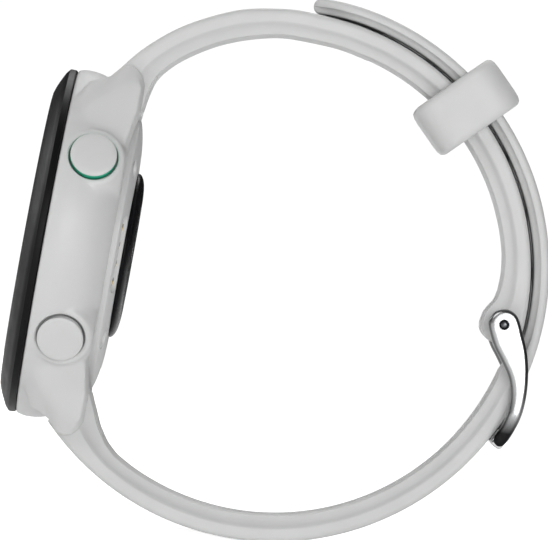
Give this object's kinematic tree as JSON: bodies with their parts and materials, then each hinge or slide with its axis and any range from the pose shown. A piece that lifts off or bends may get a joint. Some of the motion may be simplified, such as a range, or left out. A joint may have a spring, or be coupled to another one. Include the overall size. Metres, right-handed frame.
{
  "type": "gps running watch",
  "caption": "Round GPS running watch with side push buttons, pulse sensor and a closed silicone strap with buckle and keeper.",
  "frame": {"origin": "centre of the outer flat face of the pulse sensor window, where the watch rests on the wrist", "axes": "+X to the 3 o'clock side, +Y out of the case back into the wrist, +Z to 12 o'clock; the dial faces -Y"},
  "size_m": [0.0426, 0.0624, 0.065],
  "materials": {
    "shell": "satin fibre-reinforced polymer",
    "bezel": "satin black polymer",
    "lens": "polished, black behind",
    "black_rubber": "matte seal rubber",
    "display": "display panel",
    "dial_ring": "matte black",
    "chassis": "matte",
    "circuit_board": "solder mask",
    "steel": "stamped steel",
    "battery_foil": "foil pouch",
    "sensor_gloss": "gloss black",
    "gold": "gold plated",
    "accent": "green anodised look",
    "strap_silicone": "satin silicone",
    "polished_steel": "polished stainless steel"
  },
  "bodies": {
    "watch_case": {"case": "shell", "bezel": "bezel", "lens": "lens", "lens_gasket": "black_rubber", "dial_ring": "dial_ring", "display": "display", "display_frame": "chassis", "main_board": "circuit_board", "shield_can": "steel", "gps_antenna": "chassis", "battery": "battery_foil", "vibration_motor": "steel", "beeper": "chassis", "sensor_board": "circuit_board", "sensor_emitters": "gold", "sensor_window": "sensor_gloss", "rear_cover": "shell", "rear_seal": "black_rubber", "charge_port": "chassis", "rear_screw_1": "steel", "charge_contact_1": "gold", "rear_screw_2": "steel", "charge_contact_2": "gold", "rear_screw_3": "steel", "charge_contact_3": "gold", "rear_screw_4": "steel", "charge_contact_4": "gold", "start_switch": "chassis", "back_switch": "chassis", "light_switch": "chassis", "up_switch": "chassis", "down_switch": "chassis"},
    "upper_band": {"upper_band": "strap_silicone", "upper_bar_barrel": "steel"},
    "lower_band": {"lower_band": "strap_silicone", "lower_bar_barrel": "steel"},
    "upper_release": {"upper_bar_slider": "steel"},
    "lower_release": {"lower_bar_slider": "steel"},
    "buckle": {"buckle_frame": "polished_steel", "buckle_pin": "polished_steel"},
    "tongue": {"buckle_tongue": "polished_steel"},
    "keeper": {"keeper": "strap_silicone"},
    "start_button": {"start_button": "shell", "start_button_seal": "black_rubber", "start_button_clip": "steel", "start_accent_ring": "accent"},
    "back_button": {"back_button": "shell", "back_button_seal": "black_rubber", "back_button_clip": "steel"},
    "light_button": {"light_button": "shell", "light_button_seal": "black_rubber", "light_button_clip": "steel"},
    "up_button": {"up_button": "shell", "up_button_seal": "black_rubber", "up_button_clip": "steel"},
    "down_button": {"down_button": "shell", "down_button_seal": "black_rubber", "down_button_clip": "steel"}
  },
  "joints": [
    {"name": "start_press", "type": "slide", "parent": "watch_case", "child": "start_button", "axis": [-0.9135, 0, -0.4067], "range_m": [0, 0.0006], "stiffness_N_per_m": 1500, "springref_m": -0.0005},
    {"name": "back_press", "type": "slide", "parent": "watch_case", "child": "back_button", "axis": [-0.9135, 0, 0.4067], "range_m": [0, 0.0006], "stiffness_N_per_m": 1500, "springref_m": -0.0005},
    {"name": "light_press", "type": "slide", "parent": "watch_case", "child": "light_button", "axis": [0.9135, 0, -0.4067], "range_m": [0, 0.0006], "stiffness_N_per_m": 1500, "springref_m": -0.0005},
    {"name": "up_press", "type": "slide", "parent": "watch_case", "child": "up_button", "axis": [1, 0, 0], "range_m": [0, 0.0006], "stiffness_N_per_m": 1500, "springref_m": -0.0005},
    {"name": "down_press", "type": "slide", "parent": "watch_case", "child": "down_button", "axis": [0.9135, 0, 0.4067], "range_m": [0, 0.0006], "stiffness_N_per_m": 1500, "springref_m": -0.0005},
    {"name": "upper_band_pivot", "type": "hinge", "parent": "watch_case", "child": "upper_band", "pos_m": [0, -0.0035, 0.02035], "axis": [1, 0, 0], "range_deg": [-0.2, 0.2]},
    {"name": "lower_band_pivot", "type": "hinge", "parent": "watch_case", "child": "lower_band", "pos_m": [0, -0.0035, -0.02035], "axis": [1, 0, 0], "range_deg": [-0.2, 0.2]},
    {"name": "upper_release_slide", "type": "slide", "parent": "upper_band", "child": "upper_release", "axis": [-1, 0, 0], "range_m": [0, 0.0012], "stiffness_N_per_m": 800, "springref_m": -0.001},
    {"name": "lower_release_slide", "type": "slide", "parent": "lower_band", "child": "lower_release", "axis": [-1, 0, 0], "range_m": [0, 0.0012], "stiffness_N_per_m": 800, "springref_m": -0.001},
    {"name": "buckle_pivot", "type": "hinge", "parent": "upper_band", "child": "buckle", "pos_m": [0, 0.04485, 0.00005], "axis": [1, 0, 0], "range_deg": [-0.5, 1.2]},
    {"name": "tongue_pivot", "type": "hinge", "parent": "buckle", "child": "tongue", "pos_m": [0, 0.04485, 0.00005], "axis": [1, 0, 0], "range_deg": [0, 2]},
    {"name": "keeper_travel", "type": "hinge", "parent": "upper_band", "child": "keeper", "pos_m": [0, 0.017, 0.0018], "axis": [1, 0, 0], "range_deg": [-8, 8]}
  ],
  "couplings": [
    {"joint": "lower_band_pivot", "follows": "upper_band_pivot", "ratio": -1}
  ]
}
